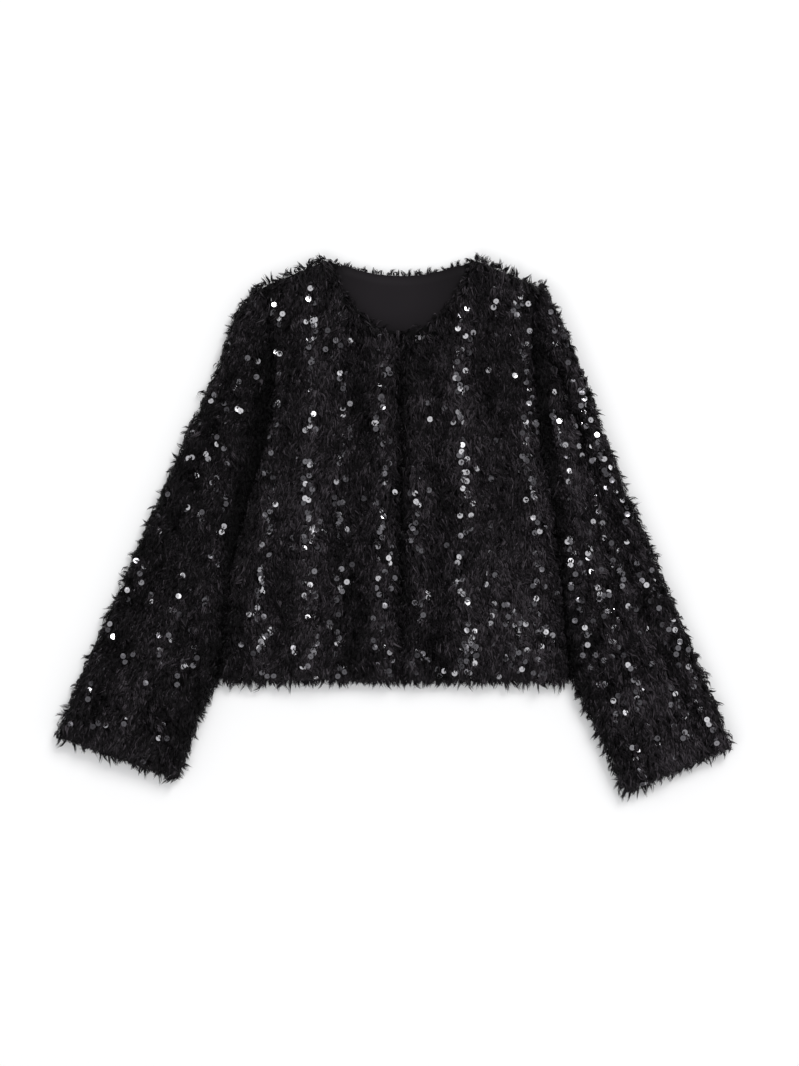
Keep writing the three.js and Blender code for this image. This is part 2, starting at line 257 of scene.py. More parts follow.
# Places with more groups of sequins: side, x, down, half width, half height, how many groups
SEQUIN_PATCHES = [
    ("left", 132, 455, 52, 48, 29),
    ("left", 130, 514, 60, 12, 6),
    ("left", 150, 250, 30, 60, 3),
    ("left", 40, 480, 25, 35, 2),
    ("right", -120, 320, 50, 50, 5),
    ("right", -125, 490, 60, 30, 8),
    ("right", -110, 516, 70, 8, 3),
]

# A strip of the left front beside its centre edge has no sequins: its width, and where it starts and ends
BARE_STRIP = (32, 100, 250)

# Pile: how many locks and loose strands there are, and the length of their blades
LOCKS = {"front": 10800, "sleeve_top": 9400, "sleeve_under": 1900, "back": 5000}
STRANDS = {"right_front": 110, "left_front": 240, "right_sleeve": 50, "left_sleeve": 170}
BLADE_LENGTH = (11.0, 20.0)
STRAND_LENGTH = (10.0, 19.0)
STRAND_LIT = 1.4
UNDER_LIT = 0.3

# The form of a lock, of an edge's tuft and of a loose strand: how many blades it has, how wide they are,
# how far their roots spread, how far it bends aside, and where along a blade its pairs of side points are
LOCK_FORM = (7, 1.25, 1.9, 1.2, (0.45,))
TUFT_FORM = (8, 0.9, 1.2, 2.4, (0.3, 0.68))
STRAND_FORM = (6, 1.15, 1.7, 2.2, (0.3, 0.68))

# How uneven a lock's blades are: shares of its length, shares of their width, twist, and how lit they are
BLADE_LENGTHS = (0.65, 1.08)
BLADE_HALVES = (0.35, 0.65)
BLADE_TWIST = 0.45
BLADE_SHINE = (-0.7, 0.93)

# How unevenly the locks turn, how far they swing in waves, and how steeply some edges' tufts fall
TURN = 0.34
SWING = 0.26
FALLS = {"hem": 0.25, "long hem": 0.25, "side": 0.25, "over shoulder": 0.3}
SLEEVE_FALL = 0.12

# Shaggy clumps of locks, and how strongly a clump draws its locks together
CLUMP_WIDTH = 7.0
CLUMP_LENGTH = 15.0
CLUMP_PULL = 0.055
CLUMP_CELLS = 64
CLUMP_SHADES = (0.64, 1.42)

# Sequins: discs a little over 7 mm wide with a small hole, in groups of one to five
SEQUIN_RADIUS = 3.6
SEQUIN_HOLE = 0.55
SEQUIN_THICK = 0.3
SEQUIN_SIDES = 10
GROUP_SIZES = [1, 2, 3, 4, 5]
GROUP_CHANCES = [0.14, 0.22, 0.24, 0.22, 0.18]
GROUP_PITCH = (6.6, 6.4)
GROUP_UNEVEN = 1.3
STACKED = 0.55

# From one group to the next: the least step, and how much more it is on average
GROUP_STEP = (8, 5.1)

# The share of strays beside their line, and how far they stray
STRAY = (0.12, 13)

# Deep sequins lie low in the pile, the others near the tips of it. Some are tilted more than the rest.
DEEP_SEQUINS = 0.5
DEEP_HEIGHT = (1.9, 4.3)
TOP_HEIGHT = (4.6, 6.4)
TILTED_SEQUINS = 0.3
TILTS = (0.4, 0.14)

rng = np.random.default_rng(407)
disc_rng = np.random.default_rng(52)
CLUMP_TABLE = rng.uniform(0, 1, (CLUMP_CELLS, CLUMP_CELLS, 3))


def smoothstep(x, low, high):
    t = np.clip((x - low) / (high - low), 0.0, 1.0)
    return t * t * (3.0 - 2.0 * t)


def mix(a, b, t):
    return a + (b - a) * t


def rounded(distance, radius):
    t = np.clip(distance / radius, 0.0, 1.0)
    return np.sqrt(np.clip(1.0 - (1.0 - t) ** 2, 0.0, 1.0))


def through(values, t):
    """A smooth curve through evenly numbered values, at row number t."""
    values = np.asarray(values, float)
    last = len(values) - 1
    i = np.clip(np.floor(t).astype(int), 0, last - 1)
    f = t - i
    a, b, c, d = (values[np.clip(i + k, 0, last)] for k in (-1, 0, 1, 2))
    return 0.5 * (2 * b + (c - a) * f + (2 * a - 5 * b + 4 * c - d) * f**2 + (3 * b - a - 3 * c + d) * f**3)


def half_width(side, down):
    """Half the body's width at a level, on the wearer's right or left."""
    levels = BODY_LEVELS[:, 0]
    level = np.clip(down, levels[0], levels[-1])
    row = np.clip(np.searchsorted(levels, level, side="right") - 1, 0, len(levels) - 2)
    share = (level - levels[row]) / (levels[row + 1] - levels[row])
    return through(BODY_LEVELS[:, LEVEL_COLUMN[side]], row + share)


def faded(at, low, high, fade):
    """1 between low and high, and a soft start and end over the length of the fade."""
    half = fade / 2
    return smoothstep(at, low - half, low + half) * (1 - smoothstep(at, high - half, high + half))


def waves(x, y, seed):
    """A smooth uneven value, about -1 to 1, that changes over some centimetres."""
    local = np.random.default_rng(seed)
    total = np.zeros(np.broadcast(x, y).shape)
    for wavelength in (150.0, 90.0, 55.0, 33.0):
        turn, phase = local.uniform(0, 2 * math.pi, 2)
        along = x * math.cos(turn) + y * math.sin(turn)
        total = total + np.sin(2 * math.pi * along / wavelength + phase)
    return total / 2.4


# Surfaces of the cloth

def front_fold(x, down):
    lift = np.zeros(np.shape(x))
    for top_x, end_x, low, high, width, height in FRONT_FOLDS:
        ridge = mix(top_x, end_x, np.clip((down - low) / (high - low), 0, 1))
        lift = lift + height * np.exp(-(((x - ridge) / width) ** 2)) * faded(down, low, high, FOLD_FADE)
    return lift


def front_edge(down):
    """x of the inner edge of a front's cloth: the neck's curve, then straight down."""
    share = np.clip(1 - down / FRONT_NECK_DEPTH, 0, 1)
    neck = NECK_HALF_WIDTH * share**FRONT_NECK_CURVE + NECK_INSET * (share > 0)
    return np.maximum(CENTRE_GAP + CENTRE_INSET, neck)


def front_cloth(side, u, v):
    """x, down, low and high face of one front's cloth, for shares u across and v along it."""
    sign = 1.0 if side == "left" else -1.0
    length = BODY_LENGTH - HEM_INSET
    inner_down = mix(NECK_INSET, length, v)
    outer_down = mix(SHOULDER_DROP + NECK_INSET, length, v)
    edge = front_edge(inner_down)
    width = half_width(side, outer_down) - SIDE_INSET * smoothstep(outer_down, *SIDE_INSET_LEVELS) - edge
    x = edge + u * width
    down = mix(inner_down, outer_down, u)
    beside_armhole = 1 - smoothstep(outer_down, *ARMHOLE_END)
    to_end = np.minimum(v, 1 - v) * length
    inside = rounded(u * width, EDGE_ROUND) * rounded(to_end, EDGE_ROUND)
    side_round = rounded((1 - u) * width, ARMHOLE_ROUND)
    full = FRONT_WALL - RIM
    rise = inside * mix(beside_armhole * ARMHOLE_RISE, full, side_round) * CLOTH_SHARE
    lift = front_fold(sign * x, down) * inside * side_round
    side_seam = np.clip(1 - (1 - u) * width / SEAM_ROUND, 0, 1) * (1 - beside_armhole)
    shoulder_seam = np.clip(1 - v * length / SEAM_ROUND, 0, 1)
    under = FRONT_BASE - SEAM_DROP * np.maximum(side_seam, shoulder_seam) + rise + lift
    return sign * x, down, under, under + CLOTH_THICK


def sleeve_ends(side, t):
    """The outer and the inner end of cross-line t, as x and down, and how free it is of the body."""
    lines = np.array(SLEEVE_LINES[side], float)
    inner_down = through(lines[:, 3], t)
    follows = half_width(side, lines[:, 3]) + SLEEVE_GAP
    inner_x_rows = np.where(lines[:, 2] == 0, follows, lines[:, 2])
    free = smoothstep(inner_down, *SLEEVE_FREE)
    beside_body = half_width(side, inner_down) + SLEEVE_GAP
    inner = (mix(beside_body, through(inner_x_rows, t), free), inner_down)
    outer = (through(lines[:, 0], t), through(lines[:, 1], t))
    return outer, inner, free


def sleeve_fold(side, t, share):
    lift = np.zeros(np.shape(share))
    for across, low, high, width, height in SLEEVE_FOLDS[side]:
        lift = lift + height * np.exp(-(((share - across) / width) ** 2)) * faded(t, low, high, 1.0)
    return lift


def sleeve_place(side, t, share):
    """x and down of a point on a sleeve's cross-line, with the sleeve's width there."""
    (outer_x, outer_down), (inner_x, inner_down), free = sleeve_ends(side, t)
    width = np.hypot(outer_x - inner_x, outer_down - inner_down)
    (first_x, first_down), (hole_x, hole_down), _ = sleeve_ends(side, np.zeros(np.shape(t)))
    chord_x = mix(hole_x, first_x, share)
    chord_down = mix(hole_down, first_down, share)
    bow = half_width(side, chord_down) + SLEEVE_GAP - chord_x
    x = mix(inner_x, outer_x, share) + bow * (1 - smoothstep(t, 0, 2))
    return x, mix(inner_down, outer_down, share), width, free


def sleeve_cloth(side, share, line, top=True):
    """x, down, height inside and height outside of a sleeve's cloth, for shares across and along it."""
    sign = 1.0 if side == "left" else -1.0
    t = line * (LAST_LINE - CUFF_INSET)
    _, _, full_width, free = sleeve_place(side, t, share)
    inset = SIDE_INSET / full_width
    inner_inset = inset * free
    shifted = mix(inner_inset, 1 - inset * smoothstep(t, 0.1, 0.7), share)
    x, down, width, free = sleeve_place(side, t, shifted)
    to_cuff = (1 - line) * LAST_LINE * LINE_LENGTH
    at_cuff = rounded(to_cuff, EDGE_ROUND)
    at_armhole = rounded(t * LINE_LENGTH, ARMHOLE_ROUND)
    if top:
        inner_round = mix(TUCK_ROUND, EDGE_ROUND, free)
        outer_side = rounded((1 - share) * width, EDGE_ROUND)
        inner_side = rounded(share * width, inner_round)
        swell = (SLEEVE_HEIGHT - TUCK_HEIGHT) * SLEEVE_SWELL + sleeve_fold(side, t, share)
        full = TUCK_HEIGHT + swell * outer_side * inner_side
        start = mix(TUCK_HEIGHT, ARMHOLE_HEIGHT, outer_side)
        height = mix(start, mix(CUFF_HEIGHT, full, at_cuff), at_armhole)
        return sign * x, down, height - CLOTH_THICK, height
    side_round = rounded(np.minimum(share, 1 - share) * width, UNDER_ROUND)
    height = mix(TUCK_HEIGHT, UNDER_PILE * 0.9, side_round * rounded(to_cuff, UNDER_CUFF_ROUND))
    return sign * x, down, height + CLOTH_THICK, height


def back_top_edge(x, shoulder):
    from_neck = np.abs(x) - NECK_HALF_WIDTH
    neck = BACK_NECK_DEPTH * (1 - (x / NECK_HALF_WIDTH) ** 2)
    return np.where(from_neck < 0, neck, SHOULDER_DROP * from_neck / (shoulder - NECK_HALF_WIDTH))


def back_place(u, v, side_inset, neck_inset, shoulder_inset, hem_inset):
    """x and down of a point of the back, drawn in from its edges by the insets."""
    share = 2 * u - 1
    bottom = BODY_LENGTH - hem_inset
    outer_down = mix(SHOULDER_DROP + shoulder_inset, bottom, v)
    wide = np.where(u < 0.5, half_width("right", outer_down), half_width("left", outer_down))
    shoulder = BODY_LEVELS[0, 1]
    beside_neck = smoothstep(np.abs(share) * shoulder, NECK_HALF_WIDTH - 9, NECK_HALF_WIDTH - 3)
    start = back_top_edge(share * shoulder, shoulder) + mix(neck_inset, shoulder_inset, beside_neck)
    beside_hem = smoothstep(outer_down, *SIDE_INSET_LEVELS)
    inset = side_inset if side_inset > SIDE_INSET else side_inset * beside_hem
    return share * (wide - inset), mix(start, bottom, v)


# Where the drawing's zero lies in the solids' frame, from two edges that the solids have too
SHIFT_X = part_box("left_front")[0][0] - CENTRE_GAP / 1000
SHIFT_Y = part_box("back_lining")[0][1] + (BODY_LENGTH - LINING_INSETS[3]) / 1000


def to_metres(points):
    """(n, 3) of x, down and height in millimetres, as x, y and z in metres."""
    out = np.empty_like(points, dtype=float)
    out[:, 0] = points[:, 0] / 1000 + SHIFT_X
    out[:, 1] = -points[:, 1] / 1000 + SHIFT_Y
    out[:, 2] = np.maximum(points[:, 2], LOWEST) / 1000
    return out


def add_mesh(name, points, faces, material, smooth=True):
    """A mesh from (n, 3) points in metres and (m, k) faces."""
    faces = np.asarray(faces, np.int32)
    count, corners = faces.shape
    mesh = bpy.data.meshes.new(name)
    mesh.vertices.add(len(points))
    mesh.vertices.foreach_set("co", np.asarray(points, np.float32).ravel())
    mesh.loops.add(count * corners)
    mesh.loops.foreach_set("vertex_index", faces.ravel())
    mesh.polygons.add(count)
    mesh.polygons.foreach_set("loop_start", np.arange(0, count * corners, corners, dtype=np.int32))
    mesh.polygons.foreach_set("use_smooth", np.full(count, smooth))
    mesh.update(calc_edges=True)
    mesh.materials.append(material)
    obj = bpy.data.objects.new(name, mesh)
    bpy.context.scene.collection.objects.link(obj)
    return obj


# Materials

# Painted shade on the lining that shows in the neck: lightest near its middle, darker towards the fronts'
# edges and downwards, where the fronts shade it
LINING_LIGHT_PLACE = (SHIFT_X - 0.012, SHIFT_Y - 0.048, 0.0)
LINING_LIGHT_REACH = (0.125, 0.085, 0.085)


def new_material(name, roughness, specular=0.5):
    """A new material with its nodes, its links and its shader."""
    material = bpy.data.materials.new(name)
    material.use_nodes = True
    nodes = material.node_tree.nodes
    shader = nodes["Principled BSDF"]
    shader.inputs["Roughness"].default_value = roughness
    shader.inputs["Specular IOR Level"].default_value = specular
    return material, nodes, material.node_tree.links, shader


def new_ramp(nodes, low, high):
    """A ramp between two colours."""
    ramp = nodes.new("ShaderNodeValToRGB")
    ramp.color_ramp.elements[0].color = (*low, 1)
    ramp.color_ramp.elements[1].color = (*high, 1)
    return ramp


def pile_material():
    """Near-black pile. Each blade's lit attribute sets its painted light and shade: lighter on bands,
    patches and ridges, darker in creases and at edges, with some random tone. Its light end also stands in
    for sheen.
    """
    material, nodes, links, shader = new_material("black pile", 0.38, 0.075)
    lit = nodes.new("ShaderNodeAttribute")
    lit.attribute_name = "lit"
    base = new_ramp(nodes, (0.0003, 0.0002, 0.0003), (0.0455, 0.0398, 0.0455))
    links.new(lit.outputs["Fac"], base.inputs["Fac"])
    links.new(base.outputs["Color"], shader.inputs["Base Color"])
    return material


def ground_material():
    material, nodes, links, shader = new_material("black ground cloth", 0.9, 0.1)
    coordinates = nodes.new("ShaderNodeTexCoord")
    noise = nodes.new("ShaderNodeTexNoise")
    noise.inputs["Scale"].default_value = 400
    ramp = new_ramp(nodes, (0.0008, 0.0008, 0.0009), (0.003, 0.0028, 0.003))
    links.new(coordinates.outputs["Object"], noise.inputs["Vector"])
    links.new(noise.outputs["Fac"], ramp.inputs["Fac"])
    links.new(ramp.outputs["Color"], shader.inputs["Base Color"])
    return material


def lining_material():
    material, nodes, links, shader = new_material("smooth dark lining", 0.6, 0.06)
    coordinates = nodes.new("ShaderNodeTexCoord")
    weave = nodes.new("ShaderNodeTexWave")
    weave.inputs["Scale"].default_value = 700
    weave.inputs["Distortion"].default_value = 1.0
    ramp = new_ramp(nodes, (0.0085, 0.0072, 0.0085), (0.0115, 0.0098, 0.0115))
    place = nodes.new("ShaderNodeMapping")
    place.vector_type = "TEXTURE"
    place.inputs["Location"].default_value = LINING_LIGHT_PLACE
    place.inputs["Scale"].default_value = LINING_LIGHT_REACH
    # A painted pool of light, with painted shade round it where the fronts shade the lining
    pool = nodes.new("ShaderNodeTexGradient")
    pool.gradient_type = "SPHERICAL"
    depth = nodes.new("ShaderNodeMapRange")
    depth.inputs["From Max"].default_value = 0.75
    depth.inputs["To Min"].default_value = 0.36
    depth.inputs["To Max"].default_value = 1.24
    shade = nodes.new("ShaderNodeVectorMath")
    shade.operation = "SCALE"
    links.new(coordinates.outputs["Object"], place.inputs["Vector"])
    links.new(place.outputs["Vector"], pool.inputs["Vector"])
    links.new(pool.outputs["Fac"], depth.inputs["Value"])
    links.new(coordinates.outputs["Object"], weave.inputs["Vector"])
    links.new(weave.outputs["Fac"], ramp.inputs["Fac"])
    links.new(ramp.outputs["Color"], shade.inputs[0])
    links.new(depth.outputs["Result"], shade.inputs["Scale"])
    links.new(shade.outputs["Vector"], shader.inputs["Base Color"])
    return material


def sequin_material():
    """Dark metallic discs, each with a random shade, partly their own tone and partly painted glints in the
    lightest ones.
    """
    material, nodes, links, shader = new_material("dark sequin", 0.2)
    shader.inputs["Metallic"].default_value = 1.0
    island = nodes.new("ShaderNodeNewGeometry")
    ramp = new_ramp(nodes, (0.05, 0.048, 0.053), (0.85, 0.84, 0.87))
    middle = ramp.color_ramp.elements.new(0.6)
    middle.color = (0.19, 0.185, 0.2, 1)
    links.new(island.outputs["Random Per Island"], ramp.inputs["Fac"])
    links.new(ramp.outputs["Color"], shader.inputs["Base Color"])
    return material


PILE = pile_material()
GROUND_CLOTH = ground_material()
LINING_CLOTH = lining_material()
SEQUIN = sequin_material()


# Cloth shells

def shares(count, ends):
    """Shares from 0 to 1 with closer steps near both ends."""
    even = np.linspace(0, 1, count)
    return mix(even, 0.5 - 0.5 * np.cos(even * math.pi), ends)


def closed_sheet(top, bottom):
    """Points and faces of a closed sheet between two (rows, columns, 3) grids, the first one on top."""
    rows, columns = top.shape[:2]
    points = np.concatenate([top.reshape(-1, 3), bottom.reshape(-1, 3)])
    index = np.arange(rows * columns).reshape(rows, columns)
    under = index + rows * columns
    a, b, c, d = index[:-1, :-1], index[1:, :-1], index[1:, 1:], index[:-1, 1:]
    faces = [np.stack([a, b, c, d], -1).reshape(-1, 4)]
    faces.append(np.stack([a, d, c, b], -1).reshape(-1, 4) + rows * columns)
    for line, low in (
        (index[0], under[0]),
        (index[-1][::-1], under[-1][::-1]),
        (index[:, 0][::-1], under[:, 0][::-1]),
        (index[:, -1], under[:, -1]),
    ):
        faces.append(np.stack([line[:-1], line[1:], low[1:], low[:-1]], -1))
    return points, np.concatenate(faces)


def shell(name, x, down, low, high, material):
    """A thin closed sheet between a low and a high face, its grid turned to run from left to right."""
    top, bottom = (np.stack([x, down, height], -1) for height in (high, low))
    if x[0, 0] > x[0, -1]:
        top, bottom = top[:, ::-1], bottom[:, ::-1]
    points, faces = closed_sheet(top, bottom)
    return add_mesh(name, to_metres(points), faces, material)


def front_shell(side):
    v, u = np.meshgrid(shares(96, 0.35), shares(46, 0.5), indexing="ij")
    return shell(f"{side}_front_cloth", *front_cloth(side, u, v), GROUND_CLOTH)


def back_shell():
    v, u = np.meshgrid(shares(70, 0.3), shares(70, 0.3), indexing="ij")
    x, down = back_place(u, v, *BACK_INSETS)
    low = np.full(x.shape, UNDER_PILE)
    return shell("back_cloth", x, down, low, low + CLOTH_THICK, GROUND_CLOTH)


def lining_shell():
    """The lining, with faint waves below the neck."""
    v, u = np.meshgrid(shares(30, 0.2), shares(60, 0.0), indexing="ij")
    x, down = back_place(u, v, *LINING_INSETS)
    wave = 0.35 * waves(x, down * 0.4, seed=3) * smoothstep(v, 0.0, 0.05) * smoothstep(0.4 - v, 0.0, 0.1)
    high = LINING_BASE + LINING_THICK + wave * 0.5 - 0.2
    return shell("back_lining_cloth", x, down, np.full(x.shape, LINING_BASE), high, LINING_CLOTH)


def tube_rings(x, down, top, under):
    """Rings of points round a flattened tube: across its top, and back across its underside."""
    over, back = (np.stack([x, down, height], -1) for height in (top, under))
    return np.concatenate([over, back[:, -2:0:-1]], 1)


def sleeve_shell(side):
    """A flattened tube of thin cloth, closed at both ends between its outer and its inner rings."""
    line, share = np.meshgrid(shares(90, 0.25), shares(34, 0.6), indexing="ij")
    x, down, in_top, out_top = sleeve_cloth(side, share, line)
    _, _, in_under, out_under = sleeve_cloth(side, share, line, top=False)
    in_under = np.minimum(in_under, SLIT_BASE)
    in_top = np.maximum(in_top, in_under + LEAST_SLIT)
    out_top = np.maximum(out_top, in_top + LEAST_WALL)
    in_x, in_down, _, _ = sleeve_cloth(side, mix(SIDE_WALL, 1 - SIDE_WALL, share), line)
    outer = tube_rings(x, down, out_top, out_under)
    inner = tube_rings(in_x, in_down, in_top, in_under)
    rows, count = outer.shape[:2]
    points = np.concatenate([outer.reshape(-1, 3), inner.reshape(-1, 3)])
    index = np.arange(rows * count).reshape(rows, count)
    nxt = np.roll(index, -1, 1)
    faces = [np.stack([index[:-1], index[1:], nxt[1:], nxt[:-1]], -1).reshape(-1, 4)]
    hole = index + rows * count
    hole_next = nxt + rows * count
    faces.append(np.stack([hole[:-1], hole_next[:-1], hole_next[1:], hole[1:]], -1).reshape(-1, 4))
    faces.append(np.stack([index[0], nxt[0], hole_next[0], hole[0]], -1))
    faces.append(np.stack([nxt[-1], index[-1], hole[-1], hole_next[-1]], -1))
    faces = np.concatenate(faces)
    if side == "right":
        faces = faces[:, ::-1]
    return add_mesh(f"{side}_sleeve_cloth", to_metres(points), faces, GROUND_CLOTH)


# Places on the cloth for locks of pile and sequins

def on_front(side, u, v):
    """Points and normals on the top of a front's cloth."""
    def at(a, b):
        x, down, _, high = front_cloth(side, np.clip(a, 0, 1), np.clip(b, 0, 1))
        return np.stack([x, down, high], -1)

    return on_surface(at, u, v, 1.0)


def on_sleeve(side, share, line, top=True):
    """Points and normals on the outside of a sleeve's cloth, on its top or on its underside."""
    def at(a, b):
        x, down, _, height = sleeve_cloth(side, np.clip(a, 0, 1), np.clip(b, 0, 1), top)
        return np.stack([x, down, height], -1)

    return on_surface(at, share, line, 1.0 if top else -1.0)


def on_surface(at, a, b, face):
    """Points of the surface that at() gives, and its normals: up where face is 1, down where it is -1."""
    low_a, high_a = np.maximum(a - SLOPE_STEP, 0), np.minimum(a + SLOPE_STEP, 1)
    low_b, high_b = np.maximum(b - SLOPE_STEP, 0), np.minimum(b + SLOPE_STEP, 1)
    across = at(high_a, b) - at(low_a, b)
    along = at(a, high_b) - at(a, low_b)
    along /= np.linalg.norm(along, axis=1, keepdims=True)
    normal = np.cross(across, along)
    normal /= np.linalg.norm(normal, axis=1, keepdims=True)
    normal *= np.sign(normal[:, 2:3] + 1e-9) * face
    return at(a, b), normal


def leaning(normals, angle, sign, fall=0.0):
    """Directions that run down the jacket, turned outwards by angle, along the cloth where fall is 0."""
    flat = np.stack([sign * np.sin(angle), np.cos(angle), np.full(len(angle), -fall)], -1)
    if fall == 0.0:
        flat -= normals * np.sum(flat * normals, 1, keepdims=True)
    return flat / np.linalg.norm(flat, axis=1, keepdims=True)


def blades(points, normals, directions, lengths, rise, settle, lit, form=LOCK_FORM):
    """Locks of tapered, bent blades: each lock's blades start round its root and close up towards its tip.

    Gives points, faces and each point's share of light.
    """
    each, width, spread, bend, pairs = form
    side = np.cross(normals, directions)
    side /= np.linalg.norm(side, axis=1, keepdims=True)
    bends = rng.normal(0, bend, len(points))
    of_locks = (points, normals, directions, side, lengths, rise, settle, lit, bends)
    base, normal, direction, across, length, lift, drop, shine, curl = (
        np.repeat(values, each, 0) for values in of_locks
    )
    count = len(base)
    start = rng.normal(0, spread, (count, 2))
    length = length * rng.uniform(*BLADE_LENGTHS, count)
    root = base + across * start[:, :1] + direction * start[:, 1:] * 0.9 - normal * 0.4
    aside = start[:, 0] * 0.25 + rng.normal(0, 0.5 * spread**0.5, count)
    tip = base + direction * length[:, None] + across * aside[:, None]
    tip = tip + normal * (drop + rng.normal(0, 0.6, count))[:, None]
    control = (root + tip) / 2 + normal * 2 * (lift + rng.normal(0, 0.5, count))[:, None]
    control = control + across * 2 * (curl + rng.normal(0, 0.6, count))[:, None]
    flat = tip - root
    flat /= np.linalg.norm(flat, axis=1, keepdims=True)
    wide = np.cross(normal, flat)
    wide /= np.linalg.norm(wide, axis=1, keepdims=True)
    twist = rng.normal(0, BLADE_TWIST, count)
    wide = wide * np.cos(twist)[:, None] + normal * np.sin(twist)[:, None]
    half = width * rng.uniform(*BLADE_HALVES, count)[:, None]
    ladder = [root]
    for step, along in enumerate(pairs):
        spot = (1 - along) ** 2 * root + 2 * along * (1 - along) * control + along**2 * tip
        narrowed = half * (1 - 0.3 * step)
        ladder += [spot - wide * narrowed, spot + wide * narrowed]
    ladder.append(tip)
    size = len(ladder)
    pattern = [(0, 2, 1), (size - 3, size - 2, size - 1)]
    for low in range(1, size - 3, 2):
        pattern += [(low, low + 1, low + 3), (low, low + 3, low + 2)]
    first = np.arange(count)[:, None] * size
    faces = (first[:, None] + np.array(pattern)[None]).reshape(-1, 3)
    shine = np.clip(shine * rng.lognormal(*BLADE_SHINE, count), 0, 1)
    return np.stack(ladder, 1).reshape(-1, 3), faces, np.repeat(shine, size)


def pile(name, groups):
    """One pile mesh from several groups of locks."""
    all_points, all_faces, all_lit, offset = [], [], [], 0
    for group in groups:
        points, faces, lit = blades(*group)
        all_points.append(points)
        all_faces.append(faces + offset)
        all_lit.append(lit)
        offset += len(points)
    points = to_metres(np.concatenate(all_points))
    obj = add_mesh(name, points, np.concatenate(all_faces), PILE, smooth=False)
    layer = obj.data.attributes.new("lit", "FLOAT", "POINT")
    layer.data.foreach_set("value", np.concatenate(all_lit).astype(np.float32))
    return obj


def lock_sizes(count, rise=3.4, settle=2.4):
    """Lengths of locks, how high their blades arch and how high their tips end over the cloth."""
    lengths = rng.uniform(*BLADE_LENGTH, count)
    return lengths, rng.normal(rise, 0.9, count).clip(0.6), rng.normal(settle, 1.0, count).clip(0.2)


def tufts(points, sign, lean, uneven, low, high, lit=0.35, fall=0.0):
    """Pointed, curling locks that stand out of an edge and lean outwards, unevenly."""
    count = len(points)
    up = np.tile([0.0, 0.0, 1.0], (count, 1))
    way = leaning(up, lean + rng.normal(0, uneven, count), sign, fall)
    lengths = rng.uniform(low, high, count)
    rise = rng.uniform(0.3, 1.6, count)
    settle = rng.normal(0, 0.8, count)
    return points, up, way, lengths, rise, settle, lit * rng.lognormal(0, 0.35, count), TUFT_FORM


def strands(node, points, normals, directions, lit):
    """Curled locks with a painted highlight that lie over the pile, most of them where its painted light is
    strongest.
    """
    count = STRANDS[node]
    chosen = rng.choice(len(lit), count, replace=False, p=lit**3 / np.sum(lit**3))
    lengths = rng.uniform(*STRAND_LENGTH, count)
    rise = rng.uniform(4.4, 6.4, count)
    settle = rng.uniform(2.2, 4.4, count)
    light = np.full(count, STRAND_LIT)
    return points[chosen], normals[chosen], directions[chosen], lengths, rise, settle, light, STRAND_FORM


def evenly(length, pitch):
    """Uneven places from 0 to 1 along a length, about a pitch apart."""
    count = max(2, int(length / pitch))
    return np.clip((np.arange(count) + rng.uniform(0, 1, count)) / count, 0, 1)


def clumped(x, down):
    """How far each lock is from its clump's middle, how near to it from 0 to 1, and the clump's shade."""
    column = np.floor(x / CLUMP_WIDTH).astype(int)
    column_cell = column % CLUMP_CELLS
    row = np.floor(down / CLUMP_LENGTH + CLUMP_TABLE[column_cell, 0, 0]).astype(int)
    _, jitter, shade = CLUMP_TABLE[column_cell, row % CLUMP_CELLS].T
    aside = x - (column + 0.5 + 0.4 * (jitter - 0.5)) * CLUMP_WIDTH
    near = 1 - np.clip(np.abs(aside) / (0.6 * CLUMP_WIDTH), 0, 1)
    return aside, near, mix(*CLUMP_SHADES, shade)


def band_line(top_x, hem_x, down):
    """x of the middle of a band at each level."""
    swing = 5 * waves(down, np.full(len(down), float(top_x)), seed=31)
    return mix(top_x, hem_x, down / BODY_LENGTH) + swing


def front_lit(side, x, down):
    """The painted light and shade of a front's pile: lighter bands, patches and fold ridges, painted shade
    at the centre and towards the sides.
    """
    plain, in_band, on_fold, uneven = FRONT_LIT
    total = np.full(np.shape(x), plain)
    for top_x, hem_x, wide, strength, _ in BODY_BANDS[side]:
        blotch = 0.6 + 0.5 * waves(down * 1.4, x * 0.4 + top_x * 7, seed=35)
        line = band_line(top_x, hem_x, down)
        total = total + in_band * strength * blotch * np.exp(-(((x - line) / wide) ** 2))
    for where, at_x, at_down, wide, high, change in LIT_PATCHES:
        if where == side:
            total = total + change * np.exp(-(((x - at_x) / wide) ** 2) - ((down - at_down) / high) ** 2)
    total = total + on_fold * front_fold(x, down) + uneven * waves(x * 2, down * 1.4, seed=33)
    # Painted shade along the centre edges from below the neck, less near the hem
    painted_centre_shade = smoothstep(down, 105, 150) * (1 - 0.6 * smoothstep(down, 380, 520))
    centre = mix(mix(1.0, 0.22, painted_centre_shade), 1, smoothstep(np.abs(x - 2), 4, 14))
    # Painted shade towards the sides, beside the creases of the sleeves
    from_side = half_width(side, down) - np.abs(x)
    return np.clip(total, LEAST_LIT, 1) * centre * mix(0.4, 1, smoothstep(from_side, 0, 12))


def beside_body(side, x, down):
    """How far a point of a sleeve is from the side of the body, and how wide the crease is there."""
    reach = np.interp(down, CREASES[:, 0], CREASES[:, LEVEL_COLUMN[side]])
    return np.abs(x) - half_width(side, down), reach


